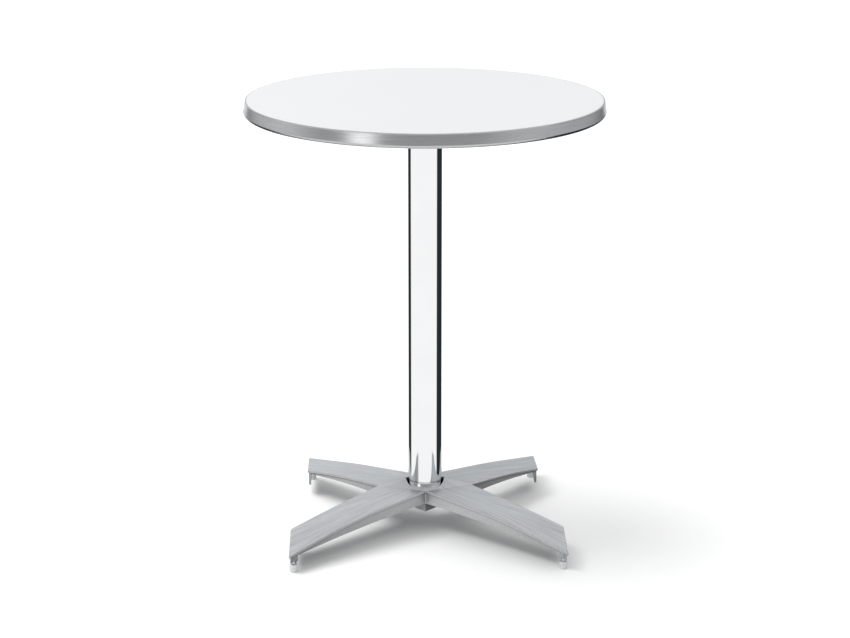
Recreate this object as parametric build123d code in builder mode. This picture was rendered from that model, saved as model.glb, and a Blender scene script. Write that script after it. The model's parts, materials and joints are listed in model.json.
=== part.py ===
from build123d import *

import os
from math import cos, radians, sin, sqrt

# Round bistro table: a laminate top with a metal edge, a chrome column and a cast four-arm base.
# Millimetres. +Z is up and the origin is on the floor, on the column's axis. -Y is the front.

os.makedirs("parts", exist_ok=True)

# ---- Driving dimensions ----
table_height = 750.0
top_radius = 300.0          # the edge rim at its widest
surface_radius = 295.0      # where the white surface meets the rim
laminate_thickness = 1.0
core_thickness = 18.0
backing_thickness = 0.8
rim_height = 23.0
rim_wall = 1.6
rim_gap_angle = 0.12        # butt joint of the bent rim, in degrees

tube_radius = 29.0
tube_wall = 2.0
rod_radius = 5.0            # M10 tie rod

front_end_x = 230.0         # each arm's end is cut off square to X
rear_end_x = 208.0          # the rear arms are closer together than the front ones
arm_end_inner_y = 135.0
arm_end_outer_y = 232.0
inner_edge_bow = 2.0        # both edges of an arm are slightly hollow
outer_edge_bow = 5.0
arm_direction = 40.0        # degrees from X, the line that the arch follows
side_notch_x = 81.0         # where a front arm meets a rear arm
front_notch_y = 40.0        # where the left arm meets the right arm

# Heights along an arm: distance from the centre, then height
arch_points = [(-20, 79), (40, 70.5), (105, 64), (175, 56.5), (250, 45), (345, 28.5)]
front_wall_edge = [(-20, 50), (165, 39), (345, 25)]
rear_wall_edge = [(-20, 47), (165, 45.5), (345, 27)]

plate_thickness = 4.0       # the lip that overhangs the side walls
plate_edge_radius = 1.2
groove_height = 1.6
groove_inset = 3.8
wall_inset = 2.2
wall_thickness = 4.5
ceiling_thickness = 7.0
end_wall_thickness = 6.0
end_wall_bottom = 19.0
inner_corner_radius = 6.0
outer_corner_radius = 2.0
hub_seat_radius = 33.0
hub_seat_height = 72.0
hub_disc_thickness = 16.0
shoulder_top = 93.0         # the casting rises to the tube on the left and right, in two ridges along X
shoulder_fall = 0.307       # the ridges' slope along X
shoulder_taper = 25.5       # degrees, how fast they fall away to the front and rear
boss_half_diagonal = 30.0
boss_bottom = 30.0
rib_thickness = 4.0
overlap = 0.5               # how far pieces of the casting run into each other

foot_inset_x = 7.0          # from the end of the arm to the foot's centre
foot_y = 215.0
foot_boss_radius = 7.5
foot_stud_radius = 3.0      # M6 levelling stud
foot_pad_radius = 6.5
foot_pad_height = 13.0
foot_bore_top = 28.0

fit = 0.2                   # gap between pieces that slip together
thread_fit = 0.05           # radial gap that stands for a thread

# ---- Heights that follow ----
core_top = table_height - laminate_thickness
core_bottom = core_top - core_thickness
top_underside = core_bottom - backing_thickness
rim_bottom = table_height - rim_height
core_radius = surface_radius - fit

bracket_thickness = 9.0
bracket_boss_height = 20.0
spigot_length = 26.0
spigot_radius = tube_radius - tube_wall - fit
tube_top = top_underside - bracket_boss_height
collar_height = 11.0
tube_bottom = hub_seat_height + collar_height
counterbore_ceiling = 48.0
counterbore_radius = 12.0
reach = 400.0               # longer than any part of the base, for cutting solids

foot_places = {}
for side, sign in (("left", -1), ("right", 1)):
    foot_places[f"front_{side}"] = (sign * (front_end_x - foot_inset_x), -foot_y)
    foot_places[f"rear_{side}"] = (sign * (rear_end_x - foot_inset_x), foot_y)


def save(piece, name):
    """Labels a finished piece and writes its STEP file."""
    piece.label = name
    export_step(piece, f"parts/{name}.step")


# ---- Table top ----
with BuildPart() as top_laminate:
    with BuildSketch(Plane.XY.offset(core_top)):
        Circle(core_radius)
    extrude(amount=laminate_thickness)
save(top_laminate.part, "top_laminate")

tongue_height = core_bottom + core_thickness / 2
tongue_thickness = 1.8
tongue_depth = 9.0
insert_pitch = 105.0        # bracket screws, from the axis
insert_radius = 4.5
insert_length = 13.0
screw_radius = 3.0
screw_clearance = 0.3
backing_inset = 1.0

with BuildPart() as top_core:
    with BuildSketch(Plane.XY.offset(core_bottom)):
        Circle(core_radius)
    extrude(amount=core_thickness)
    with BuildSketch(Plane.XY.offset(tongue_height - tongue_thickness / 2 - fit)):
        Circle(core_radius)
        Circle(core_radius - tongue_depth - fit, mode=Mode.SUBTRACT)
    extrude(amount=tongue_thickness + 2 * fit, mode=Mode.SUBTRACT)
    with BuildSketch(Plane.XY.offset(core_bottom)):
        with PolarLocations(insert_pitch, 4, start_angle=45):
            Circle(insert_radius)
    extrude(amount=insert_length, mode=Mode.SUBTRACT)
save(top_core.part, "top_core")

with BuildPart() as backing_laminate:
    with BuildSketch(Plane.XY.offset(top_underside)):
        Circle(core_radius - backing_inset)
        with PolarLocations(insert_pitch, 4, start_angle=45):
            Circle(insert_radius, mode=Mode.SUBTRACT)
    extrude(amount=backing_thickness)
save(backing_laminate.part, "backing_laminate")

# The rim is a hollow extrusion: a sloped face outside, a tongue into the core, a lip below.
widest_height = rim_bottom + 5.0
shoulder_width = 0.6        # the flat beside the white surface
shoulder_radius = 2.2       # how far the rounding above the sloped face reaches
shoulder_drop = 1.8
roll_width = 3.4            # the rolled lower edge
heel = 0.8                  # the chamfer at the inner lower corner
heel_height = 1.6
cavity_floor = rim_bottom + 2.4
cavity_ceiling = table_height - 6.0
lip_reach = 9.0
lip_thickness = 1.4
lip_top = top_underside - 0.1
with BuildPart() as edge_rim:
    with BuildSketch(Plane.XZ):
        with BuildLine():
            inner_face = Line((surface_radius, rim_bottom + heel_height), (surface_radius, table_height))
            shoulder = Line(inner_face @ 1, (surface_radius + shoulder_width, table_height))
            rounding_end = (surface_radius + shoulder_radius, table_height - shoulder_drop)
            rounding = TangentArc(shoulder @ 1, rounding_end, tangent=(1, 0))
            slope = Line(rounding_end, (top_radius, widest_height))
            roll = TangentArc(slope @ 1, (top_radius - roll_width, rim_bottom), tangent=(0, -1))
            underside = Line(roll @ 1, (surface_radius + heel, rim_bottom))
            Line(underside @ 1, inner_face @ 0)
        make_face()
        with BuildLine():
            Polyline((surface_radius + rim_wall, cavity_floor), (surface_radius + rim_wall, cavity_ceiling),
                     (top_radius - rim_wall, widest_height + rim_wall / 2),
                     (top_radius - 1.6 * rim_wall, cavity_floor), close=True)
        make_face(mode=Mode.SUBTRACT)
        with Locations((surface_radius - tongue_depth / 2, tongue_height)):
            Rectangle(tongue_depth, tongue_thickness)
        with Locations((surface_radius - lip_reach / 2, lip_top - lip_thickness / 2)):
            Rectangle(lip_reach, lip_thickness)
    revolve(axis=Axis.Z, revolution_arc=360 - rim_gap_angle)
rim_turn = Rotation(0, 0, 90 + rim_gap_angle / 2)
save(rim_turn * edge_rim.part, "edge_rim")

# A bent strip inside the rim's hollow keeps the two ends of the butt joint in line.
key_thickness = 0.8
key_height = 6.0
key_angle = 12.0
key_centre = (surface_radius + rim_wall + fit + key_thickness / 2, cavity_floor + key_height / 2 + 1.8)
with BuildPart() as rim_joint_key:
    with BuildSketch(Plane.XZ):
        with Locations(key_centre):
            Rectangle(key_thickness, key_height)
    revolve(axis=Axis.Z, revolution_arc=key_angle)
save(Rotation(0, 0, 90 - key_angle / 2) * rim_joint_key.part, "rim_joint_key")

# ---- Bracket under the top ----
bracket_arm_length = 120.0
bracket_arm_root = 26.0
bracket_arm_tip = 14.0
bracket_boss_radius = 36.0
rod_end_cover = 8.0         # solid metal left over the rod's blind hole
with BuildPart() as top_bracket:
    with BuildSketch(Plane.XY.offset(top_underside - bracket_thickness)):
        for turn in range(45, 360, 90):
            Polygon((0, bracket_arm_root), (0, -bracket_arm_root), (bracket_arm_length, -bracket_arm_tip),
                    (bracket_arm_length, bracket_arm_tip), rotation=turn, align=None)
    extrude(amount=bracket_thickness)
    with BuildSketch(Plane.XY.offset(tube_top)):
        Circle(bracket_boss_radius)
    extrude(amount=bracket_boss_height)
    with BuildSketch(Plane.XY.offset(tube_top - spigot_length)):
        Circle(spigot_radius)
    extrude(amount=spigot_length)
    with BuildSketch(Plane.XY.offset(tube_top - spigot_length)):
        Circle(rod_radius + thread_fit)
    extrude(amount=spigot_length + bracket_boss_height - rod_end_cover, mode=Mode.SUBTRACT)
    with BuildSketch(Plane.XY.offset(top_underside - bracket_thickness)):
        with PolarLocations(insert_pitch, 4, start_angle=45):
            Circle(screw_radius + screw_clearance)
    extrude(amount=bracket_thickness, mode=Mode.SUBTRACT)
save(top_bracket.part, "top_bracket")

insert_hole_radius = screw_radius + thread_fit
with BuildPart() as bracket_inserts:
    with BuildSketch(Plane.XY.offset(top_underside)):
        with PolarLocations(insert_pitch, 4, start_angle=45):
            Circle(insert_radius - thread_fit)
            Circle(insert_hole_radius, mode=Mode.SUBTRACT)
    extrude(amount=insert_length)
save(bracket_inserts.part, "bracket_inserts")

screw_head_radius = 5.5
screw_head_height = 3.2
screw_length = 18.0
screw_head_chamfer = 0.8
hex_key_width = 4.0
hex_key_depth = 2.0
with BuildPart() as bracket_screws:
    with BuildSketch(Plane.XY.offset(top_underside - bracket_thickness)):
        with PolarLocations(insert_pitch, 4, start_angle=45):
            Circle(screw_radius)
    extrude(amount=screw_length)
    with BuildSketch(Plane.XY.offset(top_underside - bracket_thickness - screw_head_height)):
        with PolarLocations(insert_pitch, 4, start_angle=45):
            Circle(screw_head_radius)
    extrude(amount=screw_head_height)
    chamfer(edges().group_by(Axis.Z)[0].filter_by(GeomType.CIRCLE), length=screw_head_chamfer)
    with BuildSketch(Plane.XY.offset(top_underside - bracket_thickness - screw_head_height)):
        with PolarLocations(insert_pitch, 4, start_angle=45):
            RegularPolygon(hex_key_width / 2, 6, major_radius=False)
    extrude(amount=hex_key_depth, mode=Mode.SUBTRACT)
save(bracket_screws.part, "bracket_screws")

# ---- Column ----
with BuildPart() as column_tube:
    with BuildSketch(Plane.XY.offset(tube_bottom)):
        Circle(tube_radius)
        Circle(tube_radius - tube_wall, mode=Mode.SUBTRACT)
    extrude(amount=tube_top - tube_bottom)
save(column_tube.part, "column_tube")

# The collar carries the tube on its shoulder and flares out to the hub.
collar_bottom_radius = hub_seat_radius - 0.5
collar_top_radius = tube_radius + 0.4
collar_wall = 4.0
collar_foot_height = 1.0
flare_middle = (tube_radius + 1.4, hub_seat_height + 5.0)
with BuildPart() as base_collar:
    with BuildSketch(Plane.XZ):
        with BuildLine():
            sleeve = Polyline((spigot_radius, tube_bottom), (spigot_radius, tube_bottom + spigot_length),
                              (spigot_radius - collar_wall, tube_bottom + spigot_length),
                              (spigot_radius - collar_wall, hub_seat_height),
                              (collar_bottom_radius, hub_seat_height),
                              (collar_bottom_radius, hub_seat_height + collar_foot_height))
            flare = ThreePointArc(sleeve @ 1, flare_middle, (collar_top_radius, tube_bottom))
            Line(flare @ 1, sleeve @ 0)
        make_face()
    revolve(axis=Axis.Z)
save(base_collar.part, "base_collar")

# ---- Cast base ----
arm_axis = Vector(cos(radians(arm_direction)), sin(radians(arm_direction)), 0)
arm_side = Plane(origin=(0, 0, 0), x_dir=arm_axis, z_dir=(arm_axis.Y, -arm_axis.X, 0))


def bowed_line(start, end, bow):
    """An arc from start to end, whose middle lies to the left of the straight line by bow."""
    run = Vector(*end) - Vector(*start)
    middle = Vector(*start) + run * 0.5 + Vector(-run.Y, run.X) * (bow / run.length)
    return ThreePointArc(start, middle, end)


def arm_quarter(end_x):
    """The quarter of the base's outline on +X +Y, with an arm that ends at end_x."""
    with BuildSketch() as quarter:
        with BuildLine():
            Line((0, 0), (side_notch_x, 0))
            inner_edge = bowed_line((side_notch_x, 0), (end_x, arm_end_inner_y), inner_edge_bow)
            arm_end = Line(inner_edge @ 1, (end_x, arm_end_outer_y))
            outer_edge = bowed_line((end_x, arm_end_outer_y), (0, front_notch_y), outer_edge_bow)
            Line(outer_edge @ 1, (0, 0))
        make_face()
        end_corners = vertices().group_by(Axis.X)[-1].sort_by(Axis.Y)
        fillet(end_corners[0], radius=inner_corner_radius)
        fillet(vertices().sort_by(Axis.Y)[-1], radius=outer_corner_radius)
    return quarter.sketch


front_arm = arm_quarter(front_end_x)
rear_arm = arm_quarter(rear_end_x)
with BuildSketch() as base_outline:
    add(rear_arm)
    mirror(front_arm, about=Plane.XZ)
    mirror(about=Plane.YZ)


def quarter_between(curve_points, level):
    """The solid on +X +Y between a curve that runs along the arm and a level."""
    first, last = curve_points[0], curve_points[-1]
    with BuildPart() as quarter:
        with BuildSketch(arm_side):
            with BuildLine():
                Spline(*curve_points)
                Polyline(last, (last[0], level), (first[0], level), first)
            make_face()
        extrude(amount=reach, both=True)
        with BuildSketch(Plane.XY.offset(-reach / 2)):
            Rectangle(reach, reach, align=(Align.MIN, Align.MIN))
        extrude(amount=reach, mode=Mode.INTERSECT)
    return quarter.part


def under_arch(drop):
    """Everything under the arms' arched top surface, lowered by drop, with creases where arms meet."""
    lowered = [(along, height - drop) for along, height in arch_points]
    quarter = quarter_between(lowered, -reach / 4)
    with BuildPart() as body:
        add(quarter)
        mirror(about=Plane.XZ)
        mirror(about=Plane.YZ)
    return body.part


def over_wall_edges():
    """Everything above the side walls' lower edges."""
    rear_quarter = quarter_between(rear_wall_edge, reach / 4)
    front_quarter = quarter_between(front_wall_edge, reach / 4)
    with BuildPart() as body:
        add(rear_quarter)
        mirror(front_quarter, about=Plane.XZ)
        mirror(about=Plane.YZ)
    return body.part


above_walls = over_wall_edges()
under_plate = under_arch(plate_thickness - overlap)


def layer(inset, drop):
    """The base's outline, drawn in by inset, under the arched surface lowered by drop."""
    arch = under_arch(drop)
    with BuildPart() as body:
        with BuildSketch():
            add(base_outline.sketch)
            if inset:
                offset(amount=-inset)
        extrude(amount=reach / 4)
        add(arch, mode=Mode.INTERSECT)
    return body.part


def walls_of(block):
    """The part of a block that lies above the side walls' lower edges."""
    with BuildPart() as body:
        add(block)
        add(above_walls, mode=Mode.INTERSECT)
    return body.part


arch_surface = under_arch(0)
arch_underside = under_arch(plate_thickness)


def plate_quarter(arm):
    """The top plate over one arm: it overhangs the side walls, and its upper edges are rounded."""
    with BuildPart() as quarter:
        with BuildSketch():
            add(arm)
        extrude(amount=reach / 4)
        add(arch_surface, mode=Mode.INTERSECT)
        add(arch_underside, mode=Mode.SUBTRACT)
        upper_faces = faces().filter_by(lambda f: f.normal_at(f.center()).Z > 0.5)
        upright_faces = faces().filter_by(lambda f: abs(f.normal_at(f.center()).Z) < 0.3)
        side_faces = upright_faces.filter_by(lambda f: f.center().X > 1 and f.center().Y > 1)
        fillet([e for e in upper_faces.edges() if e in side_faces.edges()], radius=plate_edge_radius)
    return quarter.part


front_plate = plate_quarter(front_arm)
rear_plate = plate_quarter(rear_arm)
with BuildPart() as top_plate:
    add(rear_plate)
    mirror(front_plate, about=Plane.XZ)
    mirror(about=Plane.YZ)

with BuildPart() as end_walls:
    with BuildSketch(Plane.XY.offset(end_wall_bottom)):
        add(base_outline.sketch)
        offset(amount=-wall_inset)
        with Locations((0, -reach / 2)):
            Rectangle(2 * (front_end_x - end_wall_thickness), reach, mode=Mode.SUBTRACT)
        with Locations((0, reach / 2)):
            Rectangle(2 * (rear_end_x - end_wall_thickness), reach, mode=Mode.SUBTRACT)
    extrude(amount=table_height / 10)
    add(under_plate, mode=Mode.INTERSECT)

with BuildPart() as foot_bosses:
    with BuildSketch(Plane.XY.offset(end_wall_bottom)):
        add(base_outline.sketch)
        offset(amount=-wall_inset)
        with Locations(list(foot_places.values())):
            Circle(foot_boss_radius, mode=Mode.INTERSECT)
    extrude(amount=table_height / 10)
    add(under_plate, mode=Mode.INTERSECT)


def rib_quarter(end_x):
    """The stiffening rib under the middle of an arm on +X +Y, from the hub to the end wall."""
    with BuildSketch() as quarter:
        with BuildLine():
            rib_line = Line((boss_half_diagonal * 0.7, boss_half_diagonal * 0.5),
                            (end_x - end_wall_thickness / 2, (arm_end_inner_y + arm_end_outer_y) / 2))
        trace(rib_line, line_width=rib_thickness)
    return quarter.sketch


front_rib = rib_quarter(front_end_x)
rear_rib = rib_quarter(rear_end_x)
with BuildPart() as ribs:
    with BuildSketch():
        add(rear_rib)
        mirror(front_rib, about=Plane.XZ)
        mirror(about=Plane.YZ)
    extrude(amount=reach / 4)
    add(under_plate, mode=Mode.INTERSECT)
    add(above_walls, mode=Mode.INTERSECT)

boss_side = boss_half_diagonal * sqrt(2)
with BuildPart() as hub:
    with BuildSketch(Plane.XY.offset(boss_bottom)):
        Rectangle(boss_side, boss_side, rotation=45)
    extrude(amount=hub_seat_height - boss_bottom)
    add(under_plate, mode=Mode.INTERSECT)
    with BuildSketch(Plane.XY.offset(hub_seat_height - hub_disc_thickness)):
        Circle(hub_seat_radius)
    extrude(amount=hub_disc_thickness)

shoulder_reach = (shoulder_top - boss_bottom) / shoulder_fall
with BuildPart() as shoulders:
    with BuildSketch(Plane.XZ):
        with BuildLine():
            Polyline((-shoulder_reach, boss_bottom), (0, shoulder_top), (shoulder_reach, boss_bottom), close=True)
        make_face()
    extrude(amount=front_notch_y, taper=shoulder_taper, both=True)
    with BuildSketch():
        add(base_outline.sketch)
    extrude(amount=reach / 4, mode=Mode.INTERSECT)
    add(under_plate, mode=Mode.SUBTRACT)

groove_layer = walls_of(layer(groove_inset, plate_thickness - overlap))
wall_layer = walls_of(layer(wall_inset, plate_thickness + groove_height))
hollow = layer(wall_inset + wall_thickness, ceiling_thickness)
with BuildPart() as base_casting:
    add(top_plate.part)
    add(groove_layer)
    add(wall_layer)
    add(hollow, mode=Mode.SUBTRACT)
    add(end_walls.part)
    add(foot_bosses.part)
    add(ribs.part)
    add(hub.part)
    add(shoulders.part)
    with BuildSketch(Plane.XY.offset(hub_seat_height)):
        Circle(hub_seat_radius)
    extrude(amount=reach, mode=Mode.SUBTRACT)
    with BuildSketch(Plane.XY.offset(boss_bottom)):
        Circle(rod_radius + overlap)
    extrude(amount=hub_seat_height - boss_bottom, mode=Mode.SUBTRACT)
    with BuildSketch(Plane.XY.offset(boss_bottom)):
        Circle(counterbore_radius)
    extrude(amount=counterbore_ceiling - boss_bottom, mode=Mode.SUBTRACT)
    with BuildSketch(Plane.XY.offset(end_wall_bottom)):
        with Locations(list(foot_places.values())):
            Circle(foot_stud_radius + thread_fit)
    extrude(amount=foot_bore_top - end_wall_bottom, mode=Mode.SUBTRACT)
save(base_casting.part, "base_casting")

# ---- Tie rod, which clamps the bracket, the tube, the collar and the base together ----
rod_bottom = boss_bottom + 3.0
rod_top = top_underside - rod_end_cover - 1.0
rod_chamfer = 0.8
with BuildPart() as tie_rod:
    with BuildSketch(Plane.XY.offset(rod_bottom)):
        Circle(rod_radius)
    extrude(amount=rod_top - rod_bottom)
    chamfer(edges().filter_by(GeomType.CIRCLE), length=rod_chamfer)
save(tie_rod.part, "tie_rod")

washer_radius = 10.5
washer_thickness = 2.0
spring_washer_radius = 8.7
spring_washer_thickness = 2.2
split_width = 0.8           # the spring washer's split, cut at a slant
split_slant = 12.0
nut_height = 8.0
nut_across_flats = 16.0
washer_bottom = counterbore_ceiling - washer_thickness
with BuildPart() as base_washer:
    with BuildSketch(Plane.XY.offset(washer_bottom)):
        Circle(washer_radius)
        Circle(rod_radius + fit, mode=Mode.SUBTRACT)
    extrude(amount=washer_thickness)
save(base_washer.part, "base_washer")

spring_washer_bottom = washer_bottom - spring_washer_thickness
spring_washer_hole = rod_radius + fit
with BuildPart() as base_spring_washer:
    with BuildSketch(Plane.XY.offset(spring_washer_bottom)):
        Circle(spring_washer_radius)
        Circle(spring_washer_hole, mode=Mode.SUBTRACT)
        with Locations(((spring_washer_radius + spring_washer_hole) / 2, 0)):
            Rectangle(spring_washer_radius - rod_radius + 2, split_width, rotation=split_slant,
                      mode=Mode.SUBTRACT)
    extrude(amount=spring_washer_thickness)
save(base_spring_washer.part, "base_spring_washer")

with BuildPart() as base_nut:
    with BuildSketch(Plane.XY.offset(spring_washer_bottom - nut_height)):
        RegularPolygon(nut_across_flats / 2, 6, major_radius=False)
        Circle(rod_radius + thread_fit, mode=Mode.SUBTRACT)
    extrude(amount=nut_height)
save(base_nut.part, "base_nut")

# ---- Levelling feet ----
ball_radius = 4.0
ball_height = 6.0
socket_gap = 0.06
stud_top = foot_bore_top - 3.0
stud_chamfer = 0.5
neck_clearance = 0.3
pad_foot_radius = 1.2       # rounding at the floor
pad_top_radius = 0.6
jam_nut_height = 3.0
jam_nut_across_flats = 9.0
for name, (x, y) in foot_places.items():
    with BuildPart() as foot_stud:
        with BuildSketch(Plane((x, y, ball_height))):
            Circle(foot_stud_radius)
        extrude(amount=stud_top - ball_height)
        chamfer(edges().group_by(Axis.Z)[-1], length=stud_chamfer)
        with Locations((x, y, ball_height)):
            Sphere(ball_radius)
    save(foot_stud.part, f"foot_stud_{name}")

    with BuildPart() as foot_nut:
        with BuildSketch(Plane((x, y, end_wall_bottom - jam_nut_height))):
            RegularPolygon(jam_nut_across_flats / 2, 6, major_radius=False)
            Circle(foot_stud_radius + thread_fit, mode=Mode.SUBTRACT)
        extrude(amount=jam_nut_height)
    save(foot_nut.part, f"foot_nut_{name}")

    with BuildPart() as foot_pad:
        with BuildSketch(Plane((x, y, 0))):
            Circle(foot_pad_radius)
        extrude(amount=foot_pad_height)
        fillet(edges().group_by(Axis.Z)[0], radius=pad_foot_radius)
        fillet(edges().group_by(Axis.Z)[-1], radius=pad_top_radius)
        with Locations((x, y, ball_height)):
            Sphere(ball_radius + socket_gap, mode=Mode.SUBTRACT)
        with BuildSketch(Plane((x, y, ball_height))):
            Circle(foot_stud_radius + neck_clearance)
        extrude(amount=foot_pad_height, mode=Mode.SUBTRACT)
    save(foot_pad.part, f"foot_pad_{name}")
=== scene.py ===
"""Bistro table: looks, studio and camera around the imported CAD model. Metres, +Z up."""
import json
from math import cos, pi, radians, sin

import bpy
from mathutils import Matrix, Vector


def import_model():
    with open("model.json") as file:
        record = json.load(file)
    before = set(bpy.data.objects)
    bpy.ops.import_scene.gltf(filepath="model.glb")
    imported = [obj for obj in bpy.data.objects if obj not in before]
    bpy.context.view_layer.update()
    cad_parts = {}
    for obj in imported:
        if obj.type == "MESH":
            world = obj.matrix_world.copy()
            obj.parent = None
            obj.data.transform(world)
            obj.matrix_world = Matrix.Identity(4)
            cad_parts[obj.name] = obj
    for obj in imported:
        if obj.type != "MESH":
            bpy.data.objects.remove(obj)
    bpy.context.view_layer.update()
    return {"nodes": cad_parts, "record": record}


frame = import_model()
nodes = frame["nodes"]


# ---- Node helpers ----
CORNER_SAMPLES = 8


class Nodes:
    """Short calls that add nodes to a node tree."""

    def __init__(self, tree, coordinate):
        self.tree = tree
        self.point = self.add("ShaderNodeTexCoord").outputs[coordinate]

    def add(self, kind, **settings):
        node = self.tree.nodes.new(kind)
        for key, value in settings.items():
            setattr(node, key, value)
        return node

    def put(self, value, socket):
        """Links an output to the socket, or sets the socket to a plain value."""
        if isinstance(value, bpy.types.NodeSocket):
            self.tree.links.new(value, socket)
        else:
            socket.default_value = value

    def math(self, operation, a, b=0.0):
        node = self.add("ShaderNodeMath", operation=operation)
        self.put(a, node.inputs[0])
        self.put(b, node.inputs[1])
        return node.outputs[0]

    def stretched(self, scale):
        """The coordinates with their own scale for each axis."""
        node = self.add("ShaderNodeMapping")
        self.put(self.point, node.inputs["Vector"])
        node.inputs["Scale"].default_value = scale
        return node.outputs[0]

    def noise(self, scale, detail=3.0, roughness=0.5, source=None):
        node = self.add("ShaderNodeTexNoise")
        self.put(source or self.point, node.inputs["Vector"])
        node.inputs["Scale"].default_value = scale
        node.inputs["Detail"].default_value = detail
        node.inputs["Roughness"].default_value = roughness
        return node.outputs["Fac"]

    def remap(self, value, low, high, to_low, to_high):
        node = self.add("ShaderNodeMapRange")
        self.put(value, node.inputs["Value"])
        limits = {"From Min": low, "From Max": high, "To Min": to_low, "To Max": to_high}
        for key, number in limits.items():
            self.put(number, node.inputs[key])
        return node.outputs["Result"]

    def spread(self, noise, low, high, half_range=0.2):
        """Runs from low to high over the middle of a noise, which rarely strays far from 0.5."""
        return self.remap(noise, 0.5 - half_range, 0.5 + half_range, low, high)

    def mix(self, factor, a, b):
        node = self.add("ShaderNodeMix", data_type="RGBA")
        self.put(factor, node.inputs["Factor"])
        self.put(a, node.inputs["A"])
        self.put(b, node.inputs["B"])
        return node.outputs["Result"]

    def split(self, vector):
        node = self.add("ShaderNodeSeparateXYZ")
        self.put(vector, node.inputs[0])
        return node.outputs

    def around_axis(self, turn_scale, outward_scale):
        """Coordinates round the Z axis. The grain runs along the direction that has the smaller scale."""
        x, y, z = self.split(self.point)
        turn = self.math("ARCTAN2", y, x)
        square = self.math("ADD", self.math("MULTIPLY", x, x), self.math("MULTIPLY", y, y))
        radius = self.math("SQRT", square)
        join = self.add("ShaderNodeCombineXYZ")
        self.put(self.math("MULTIPLY", turn, turn_scale), join.inputs[0])
        self.put(self.math("MULTIPLY", radius, outward_scale), join.inputs[1])
        self.put(self.math("MULTIPLY", z, outward_scale), join.inputs[2])
        return join.outputs[0]


class Material(Nodes):
    """A procedural material around one Principled shader."""

    def __init__(self, name):
        self.data = bpy.data.materials.new(name)
        self.data.use_nodes = True
        self.shader = self.data.node_tree.nodes["Principled BSDF"]
        super().__init__(self.data.node_tree, "Object")

    def set(self, **values):
        """Sets shader inputs by name, with underscores for spaces."""
        for key, value in values.items():
            self.put(value, self.shader.inputs[key.replace("_", " ")])

    def painted_corner_shade(self, tone, reach, darkest, clear, depth):
        """Paints shade into a tone: darkens it by up to depth where surfaces within reach close it in, from
        clear to darkest.
        """
        corners = self.add("ShaderNodeAmbientOcclusion", samples=CORNER_SAMPLES)
        corners.inputs["Distance"].default_value = reach
        amount = self.remap(corners.outputs["AO"], darkest, clear, depth, 0.0)
        return self.mix(amount, tone, grey(0.03, 0.01))

    def bump(self, height, strength, distance):
        """Raises the surface by a height, with the distance in metres."""
        node = self.add("ShaderNodeBump")
        self.put(height, node.inputs["Height"])
        node.inputs["Strength"].default_value = strength
        node.inputs["Distance"].default_value = distance
        self.set(Normal=node.outputs[0])


def grey(value, blue=0.0):
    """A grey, leaning to blue."""
    return (value, value + blue * 0.5, value + blue, 1.0)


# ---- Materials ----
def white_laminate():
    """A white decor with faint flecks."""
    m = Material("white laminate")
    fleck = m.noise(900.0, 2.0)
    cloud = m.noise(7.0, 3.0)
    tone = m.mix(m.spread(fleck, 0.0, 1.0, 0.15), grey(0.625, 0.010), grey(0.665, 0.012))
    tone = m.mix(m.spread(cloud, 0.0, 0.35), tone, grey(0.655, 0.008))
    m.set(Base_Color=tone, Roughness=m.spread(cloud, 0.34, 0.42), Specular_IOR_Level=0.45)
    m.bump(m.noise(1600.0, 2.0), 0.12, 0.0002)
    return m.data


def brushed_rim():
    """Metal brushed along the rim."""
    m = Material("brushed rim")
    grain = m.noise(1.0, 4.0, 0.7, m.around_axis(7.0, 2600.0))
    broad = m.noise(1.0, 2.0, 0.5, m.around_axis(2.0, 260.0))
    m.set(Base_Color=m.mix(m.spread(grain, 0.0, 1.0), grey(0.46, 0.008), grey(0.60, 0.010)),
          Metallic=1.0, Roughness=m.spread(broad, 0.20, 0.28))
    m.bump(grain, 0.10, 0.0002)
    return m.data


def chrome(name="polished chrome", painted_shade_depth=0.0):
    """Mirror finish with faint smears; the last argument paints shade into its corners, up to that depth."""
    m = Material(name)
    smear = m.noise(14.0, 4.0)
    hairline = m.noise(1.0, 2.0, 0.5, m.stretched((900.0, 900.0, 6.0)))
    tone = m.mix(m.spread(smear, 0.0, 1.0), grey(0.84, 0.012), grey(0.87, 0.012))
    # Painted shade: the chrome's tone darkens where nearby surfaces close it in.
    if painted_shade_depth:
        tone = m.painted_corner_shade(tone, 0.05, 0.5, 1.0, painted_shade_depth)
    m.set(Base_Color=tone, Metallic=1.0, Roughness=m.remap(smear, 0.3, 0.75, 0.035, 0.075))
    m.bump(hairline, 0.02, 0.0001)
    return m.data


def satin_casting():
    """Aluminium, brushed outwards on its upper faces and as cast elsewhere, with painted shade in its
    corners and hollows.
    """
    m = Material("satin aluminium casting")
    facing = m.split(m.add("ShaderNodeNewGeometry").outputs["Normal"])
    upward = m.remap(facing[2], 0.55, 0.85, 0.0, 1.0)
    streaks = m.noise(1.0, 4.0, 0.65, m.around_axis(70.0, 9.0))
    fine = m.noise(1.0, 4.0, 0.7, m.around_axis(420.0, 20.0))
    cast = m.noise(420.0, 4.0, 0.6)
    cloud = m.noise(22.0, 3.0)
    polished = m.mix(m.spread(streaks, 0.0, 1.0, 0.15), grey(0.46, 0.035), grey(0.74, 0.040))
    polished = m.mix(m.spread(fine, 0.0, 0.45, 0.15), polished, grey(0.44, 0.02))
    raw = m.mix(m.spread(cast, 0.0, 1.0, 0.15), grey(0.50, 0.012), grey(0.66, 0.012))
    tone = m.mix(upward, raw, polished)
    # Painted shade, up to 0.9 deep, where surfaces within 7 cm close the casting in, as next to the column.
    tone = m.painted_corner_shade(tone, 0.07, 0.35, 0.95, 0.9)
    tone = m.mix(m.remap(cloud, 0.35, 0.7, 0.0, 0.25), tone, grey(0.56, 0.02))
    roughness = m.math("ADD", m.remap(upward, 0.0, 1.0, 0.42, 0.24), m.spread(fine, 0.0, 0.08))
    m.set(Base_Color=tone, Metallic=1.0, Roughness=roughness)
    m.bump(m.mix(upward, cast, fine), 0.16, 0.0003)
    return m.data


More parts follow.
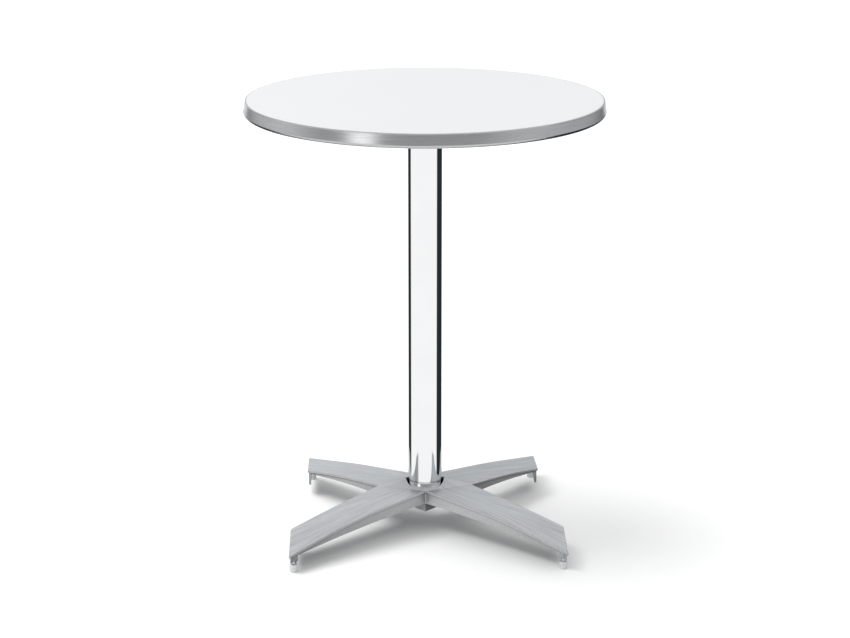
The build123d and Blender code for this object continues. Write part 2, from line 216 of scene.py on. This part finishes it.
def plated_steel():
    """Dull zinc plating."""
    m = Material("zinc plated steel")
    tone = m.mix(m.spread(m.noise(160.0), 0.0, 1.0, 0.15), grey(0.50, 0.03), grey(0.66, 0.02))
    m.set(Base_Color=tone, Metallic=1.0, Roughness=m.spread(m.noise(320.0), 0.28, 0.42))
    m.bump(m.noise(1200.0), 0.08, 0.0001)
    return m.data


def brass():
    """Turned brass."""
    m = Material("brass insert")
    tone = m.mix(m.noise(200.0), (0.62, 0.44, 0.18, 1), (0.76, 0.58, 0.28, 1))
    m.set(Base_Color=tone, Metallic=1.0, Roughness=m.spread(m.noise(90.0), 0.25, 0.4))
    m.bump(m.noise(900.0), 0.08, 0.0001)
    return m.data


def powder_coat():
    """Black paint with an orange peel."""
    m = Material("black powder coat")
    peel = m.noise(1100.0, 3.0)
    m.set(Base_Color=m.mix(m.noise(60.0), grey(0.018), grey(0.03)), Specular_IOR_Level=0.5,
          Roughness=m.spread(peel, 0.42, 0.6))
    m.bump(peel, 0.35, 0.0003)
    return m.data


def backing_sheet():
    """Grey paper laminate."""
    m = Material("backing laminate")
    fibre = m.noise(1.0, 4.0, 0.6, m.stretched((500.0, 40.0, 40.0)))
    m.set(Base_Color=m.mix(fibre, grey(0.30), grey(0.40, 0.01)), Roughness=m.spread(fibre, 0.5, 0.62))
    m.bump(m.noise(1500.0), 0.12, 0.0002)
    return m.data


def particle_board():
    """Flat wood chips."""
    m = Material("particle board")
    chips = m.add("ShaderNodeTexVoronoi")
    m.put(m.stretched((260.0, 260.0, 700.0)), chips.inputs["Vector"])
    chips.inputs["Scale"].default_value = 1.0
    chip = m.remap(chips.outputs["Distance"], 0.0, 0.9, 0.0, 1.0)
    tone = m.mix(chip, (0.30, 0.19, 0.09, 1), (0.55, 0.40, 0.24, 1))
    m.set(Base_Color=tone, Roughness=m.spread(m.noise(300.0), 0.7, 0.85))
    m.bump(chips.outputs["Distance"], 0.3, 0.0004)
    return m.data


def pad_nylon():
    """Light plastic that lets a little light in."""
    m = Material("light grey nylon")
    tone = m.mix(m.spread(m.noise(240.0), 0.0, 1.0), grey(0.60, 0.01), grey(0.70, 0.012))
    m.set(Base_Color=tone, Roughness=m.spread(m.noise(500.0), 0.38, 0.5), Subsurface_Weight=0.08,
          Subsurface_Scale=0.002)
    m.bump(m.noise(1400.0), 0.1, 0.0001)
    return m.data


MADE_BY_SLOT = {
    "white_laminate": white_laminate, "brushed_rim": brushed_rim, "chrome": chrome,
    "satin_aluminium": satin_casting, "zinc_steel": plated_steel, "brass_insert": brass,
    "black_coated": powder_coat, "backing_laminate": backing_sheet, "core_board": particle_board,
    "nylon": pad_nylon,
}
materials = {slot: make() for slot, make in MADE_BY_SLOT.items()}
for row in frame["record"]["subparts"]:
    for place in nodes[row["node"]].material_slots:
        place.material = materials[row["material_slot"]]

# The collar's chrome carries strong painted shade where the casting and the tube close it in.
nodes["base_collar"].material_slots[0].material = chrome("collar chrome, painted shade", 0.95)


# ---- Studio ----
FLOOR_SIZE = 60.0
SUN_STRENGTH = 1.9
SUN_SPREAD = radians(44)
SUN_DIRECTION = (0.45, -0.1, -1.0)


def floor():
    """A white floor. Glossy rays miss it, so polished metal reflects the world's pattern instead."""
    m = Material("studio floor")
    m.set(Base_Color=m.mix(m.noise(3.0), grey(0.93), grey(0.95)), Roughness=0.7, Specular_IOR_Level=0.1)
    bpy.ops.mesh.primitive_plane_add(size=FLOOR_SIZE, location=(0, 0, 0))
    plane = bpy.context.object
    plane.name = "studio_floor"
    plane.data.materials.append(m.data)
    plane.visible_glossy = False


def sun():
    """Soft light from high on the left, which polished metal doesn't see."""
    data = bpy.data.lights.new("sun", "SUN")
    data.energy = SUN_STRENGTH
    data.angle = SUN_SPREAD
    light = bpy.data.objects.new("sun", data)
    light.rotation_euler = Vector(SUN_DIRECTION).to_track_quat("-Z", "Y").to_euler()
    light.visible_glossy = False
    bpy.context.collection.objects.link(light)


# What polished metal reflects. Directions in degrees: azimuth 0 is the front and grows to the right.
FLOOR_EDGE = (-7, -3)           # heights over which the floor passes into the horizon
LIT_FLOOR = (-111, 85)
LIT_BEHIND = (150, 156)         # either side of straight behind, the floor turns light again
FRONT = (-80, 45)
WINDOW = (-49, -33)
WINDOW_HEIGHT = (-4, 28)
CEILING_EDGE = (18, 42)         # heights over which the horizon passes into the ceiling
DARK_FLOOR = grey(0.022, 0.012)
LIGHT_FLOOR = grey(1.06)
BEHIND_LEFT = grey(0.84, 0.02)
BEHIND_RIGHT = grey(0.64, 0.03)
IN_FRONT = grey(0.46, 0.01)
WINDOW_LIGHT = grey(1.9)
CEILING = grey(0.92)
BACKDROP = grey(1.0)


def world():
    """The studio around the table: a plain backdrop for the camera, and a pattern by direction for light."""
    scene = bpy.context.scene
    scene.view_settings.view_transform = "Standard"
    scene.world = bpy.data.worlds.new("studio")
    scene.world.use_nodes = True
    n = Nodes(scene.world.node_tree, "Generated")
    x, y, z = n.split(n.point)
    azimuth = n.math("ARCTAN2", x, n.math("MULTIPLY", y, -1.0))
    height = n.math("ARCSINE", z)

    def step(value, limits, before=0.0, after=1.0):
        """Passes from before to after between two angles."""
        return n.remap(value, radians(limits[0]), radians(limits[1]), before, after)

    def band(value, limits, soft):
        """1 between two angles, fading to 0 over soft."""
        start, end = limits
        rise = step(value, (start - soft, start + soft))
        fall = step(value, (end - soft, end + soft), 1.0, 0.0)
        return n.math("MULTIPLY", rise, fall)

    straight_behind = step(n.math("ABSOLUTE", azimuth), LIT_BEHIND)
    lit = n.math("MAXIMUM", band(azimuth, LIT_FLOOR, 3), straight_behind)
    floor_tone = n.mix(lit, DARK_FLOOR, LIGHT_FLOOR)
    tone = n.mix(step(azimuth, (-150, 150)), BEHIND_LEFT, BEHIND_RIGHT)
    tone = n.mix(band(azimuth, FRONT, 12), tone, IN_FRONT)
    window = n.math("MULTIPLY", band(azimuth, WINDOW, 3), band(height, WINDOW_HEIGHT, 4))
    tone = n.mix(window, tone, WINDOW_LIGHT)
    tone = n.mix(step(height, CEILING_EDGE), tone, CEILING)
    tone = n.mix(step(height, FLOOR_EDGE, 1.0, 0.0), tone, floor_tone)
    seen = n.add("ShaderNodeLightPath").outputs["Is Camera Ray"]
    background = n.tree.nodes["Background"]
    n.put(n.mix(seen, tone, BACKDROP), background.inputs["Color"])
    background.inputs["Strength"].default_value = 1.0


CAMERA_DISTANCE = 3.4677
CAMERA_HEIGHT = 1.396
CAMERA_AZIMUTH = -0.02822       # radians
CAMERA_PITCH = 0.28789          # radians below level
CAMERA_LENS = 89.97             # mm
SENSOR_WIDTH = 36.0             # mm


def camera():
    data = bpy.data.cameras.new("camera")
    data.sensor_width = SENSOR_WIDTH
    data.lens = CAMERA_LENS
    data.clip_end = 2 * FLOOR_SIZE
    view = bpy.data.objects.new("camera", data)
    view.location.x = CAMERA_DISTANCE * sin(CAMERA_AZIMUTH)
    view.location.y = -CAMERA_DISTANCE * cos(CAMERA_AZIMUTH)
    view.location.z = CAMERA_HEIGHT
    view.rotation_euler = (pi / 2 - CAMERA_PITCH, 0, CAMERA_AZIMUTH)
    bpy.context.collection.objects.link(view)
    bpy.context.scene.camera = view


floor()
world()
camera()
sun()
